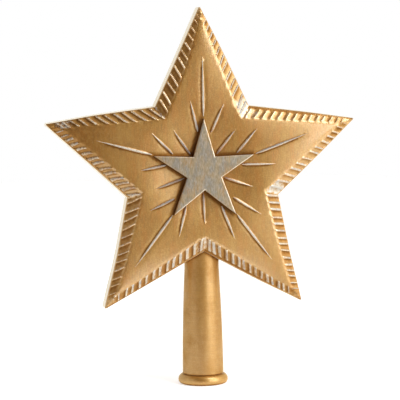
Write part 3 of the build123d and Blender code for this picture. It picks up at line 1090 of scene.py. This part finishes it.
# Mouth ring: a cast bead of resin glued on the tube's spigot, flush with its end. Sprayed gold, with wash
# left in the seam above it and painted shade round its foot.
ring_radius = 18 * mm
ring_inner = 13.7 * mm
ring_break = 0.3 * mm
ring_top = 7.2 * mm
bead_middle = 3.05 * mm
bead_steps = 25
bead_below = (3.05 * mm, 3.0 * mm)
bead_above = (4.15 * mm, 3.7 * mm)
profile = [(ring_inner, ring_break), (ring_inner + ring_break, 0)]
for turn in np.linspace(-pi / 2, pi / 2, bead_steps):
    tall, deep = bead_below if turn < 0 else bead_above
    profile.append((ring_radius - deep * (1 - cos(turn)), bead_middle + tall * sin(turn)))
profile += [(ring_inner, ring_top), (ring_inner, ring_break)]
mouth_ring = lathe("mouth_ring_cast", profile, turned_rounds)
ring_top_zone = (6.2 * mm, ring_top)
ring_foot_shade_zone = (2.6 * mm, 0.4 * mm)


def ring_wash(tree, where):
    axes = axes_of(tree, where)
    seam = ramp(tree, axes["Z"], *ring_top_zone, 0.2, 0.6)
    # Painted shade round the ring's foot.
    return sums(tree, "MAXIMUM", seam, ramp(tree, axes["Z"], *ring_foot_shade_zone, 0.0, 0.9))


ring_gold = painted(
    "ring_gold", turned_streaks, ring_wash, no_silver, grain=0.26, gloss=0.35, painted_sheen_share=0.35, warmth=0.0
)
dress(mouth_ring, ring_gold)
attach(mouth_ring, "root")
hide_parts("mouth_ring")

# Neck pin: a length of drawn steel, pressed through the neck and the cradle to hold the tube in the star.
# It is hidden inside and keeps its own shape.
steel_dark = (0.42, 0.42, 0.43, 1)
steel_pale = (0.62, 0.62, 0.63, 1)
drawn_streaks = (40, 2500, 2500)
steel, tree, shader = new_material("drawn_steel")
drawn = noise(tree, stretch(tree, node(tree, "TexCoord").outputs["Object"], *drawn_streaks), 1.0, 2.0)
feed(tree, shader.inputs["Base Color"], blend(tree, drawn, steel_dark, steel_pale))
feed(tree, shader.inputs["Roughness"], ramp(tree, drawn, 0.3, 0.7, 0.25, 0.4))
set_inputs(shader, {"Metallic": 1.0})
dress(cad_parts["neck_pin"], steel)

# Setting: a floor of white paper under a white background, a soft tent of light at the sides and behind, two
# soft lamps to the right, and the camera where the photo was taken from.
floor_half = 0.9
floor_front = -0.42
floor_back = 3
paper_dark = (0.88, 0.88, 0.88, 1)
paper_pale = (0.92, 0.92, 0.92, 1)
paper_scale = 900.0
paper_glow = 0.56
corners = [(-floor_half, floor_front, 0), (floor_half, floor_front, 0)]
corners += [(floor_half, floor_back, 0), (-floor_half, floor_back, 0)]
floor = new_piece("floor", corners, [(0, 1, 2, 3)])
paper, tree, shader = new_material("white_paper")
fibres = noise(tree, node(tree, "TexCoord").outputs["Object"], paper_scale, 2.0)
feed(tree, shader.inputs["Base Color"], blend(tree, fibres, paper_dark, paper_pale))
set_inputs(shader, {"Roughness": 0.9, "Specular IOR Level": 0.1, "Emission Color": (1, 1, 1, 1)})
seen = node(tree, "LightPath")
straight = sums(tree, "MAXIMUM", seen.outputs["Is Camera Ray"], seen.outputs["Is Transmission Ray"])
straight = sums(tree, "MAXIMUM", straight, seen.outputs["Is Glossy Ray"])
feed(tree, shader.inputs["Emission Strength"], sums(tree, "MULTIPLY", straight, paper_glow))
dress(floor, paper)

tent_dark = (0, 0, 0, 1)
tent_white = (1, 0.98, 0.95, 1)
background_white = (1, 1, 1, 1)
world = bpy.data.worlds.new("studio")
bpy.context.scene.world = world
world.use_nodes = True
tree = world.node_tree
sky = tree.nodes["Background"]
way = axes_of(tree, node(tree, "TexCoord").outputs["Generated"])
right_side = ramp(tree, way["X"], 0.15, 0.95, 0.02, 1.1, "LINEAR")
left_side = ramp(tree, way["X"], -0.5, -0.9)
behind = ramp(tree, way["Y"], 0.2, 0.65)
lit = sums(tree, "MAXIMUM", sums(tree, "ADD", right_side, left_side), behind)
tent = blend(tree, lit, tent_dark, tent_white)
seen = node(tree, "LightPath")
feed(tree, sky.inputs["Color"], blend(tree, seen.outputs["Is Camera Ray"], tent, background_white))


def lamp(name, position, aim, size, power):
    light = bpy.data.lights.new(name, "AREA")
    light.shape = "RECTANGLE"
    light.size, light.size_y = size
    light.energy = power
    holder = bpy.data.objects.new(name, light)
    holder.location = position
    holder.rotation_euler = (Vector(aim) - Vector(position)).to_track_quat("-Z", "Y").to_euler()
    bpy.context.scene.collection.objects.link(holder)


lamp("key", position=(0.71, -0.76, 0.32), aim=(0, 0, 0.14), size=(0.8, 0.6), power=5.5)
lamp("top", position=(0.55, -0.5, 1.0), aim=(0.1, -0.1, 0.1), size=(0.6, 0.6), power=7)

target = Vector((-2.4, -13, 133.1)) * mm
distance = 1.1897
yaw, pitch, roll = radians(8.53), radians(3.55), radians(-0.83)
away = Vector((-sin(yaw) * cos(pitch), -cos(yaw) * cos(pitch), sin(pitch)))
right = Vector((cos(yaw), -sin(yaw), 0))
up = away.cross(right)
lens = bpy.data.cameras.new("camera")
lens.sensor_width = 36
lens.lens = 150.7
camera = bpy.data.objects.new("camera", lens)
columns = (right * cos(roll) + up * sin(roll), up * cos(roll) - right * sin(roll), away)
camera.matrix_world = Matrix.Translation(target + away * distance) @ Matrix(columns).transposed().to_4x4()
bpy.context.scene.collection.objects.link(camera)
bpy.context.scene.camera = camera
bpy.context.scene.view_settings.view_transform = "Standard"
